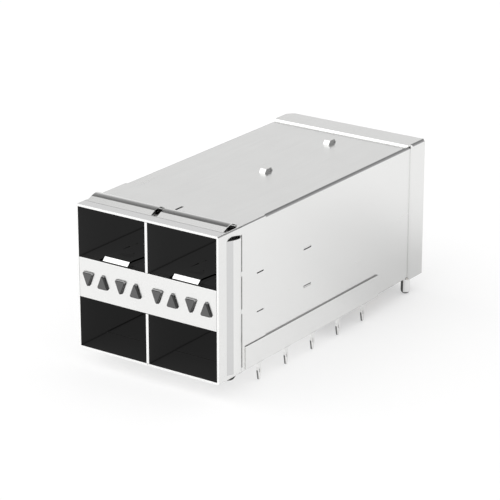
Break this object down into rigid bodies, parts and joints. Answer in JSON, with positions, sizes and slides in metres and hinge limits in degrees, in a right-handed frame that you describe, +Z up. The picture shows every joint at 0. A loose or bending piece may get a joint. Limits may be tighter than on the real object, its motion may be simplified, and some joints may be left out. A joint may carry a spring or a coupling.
{
  "type": "sfp cage",
  "caption": "Press-fit board cage with stacked side-by-side ports for pluggable modules, sprung strips round the mouth and lamp windows in its centre band.",
  "frame": {"origin": "on the board plane, midway between the side walls, at the front edge of the base pan's seat; the mouth stands 7.4 mm in front of it", "axes": "+Z up off the board, +Y from the mouth to the rear, +X to the right seen from the mouth"},
  "size_m": [0.031, 0.0645, 0.0297],
  "materials": {
    "cage_sheet": "satin nickel plate",
    "spring_strip": "bright nickel plate",
    "light_pipe": "clear moulded",
    "black_plastic": "as moulded",
    "contact_metal": "thin gold plate",
    "peg_metal": "polished"
  },
  "bodies": {
    "root": {"shell": "cage_sheet", "base_pan": "cage_sheet", "rear_cover": "cage_sheet", "separator": "cage_sheet", "divider": "cage_sheet", "emi_strip_top": "spring_strip", "emi_strip_bottom": "spring_strip", "emi_strip_left": "spring_strip", "emi_strip_right": "spring_strip", "divider_clip_upper": "spring_strip", "divider_clip_lower": "spring_strip", "light_pipe_1": "light_pipe", "light_pipe_2": "light_pipe", "light_pipe_3": "light_pipe", "light_pipe_4": "light_pipe", "light_pipe_5": "light_pipe", "light_pipe_6": "light_pipe", "light_pipe_7": "light_pipe", "light_pipe_8": "light_pipe", "light_pipe_holder_left": "black_plastic", "light_pipe_holder_right": "black_plastic", "connector_left": "black_plastic", "connector_right": "black_plastic", "left_upper_contacts": "contact_metal", "left_lower_contacts": "contact_metal", "right_upper_contacts": "contact_metal", "right_lower_contacts": "contact_metal", "board_peg_left": "peg_metal", "board_peg_right": "peg_metal"}
  },
  "joints": []
}
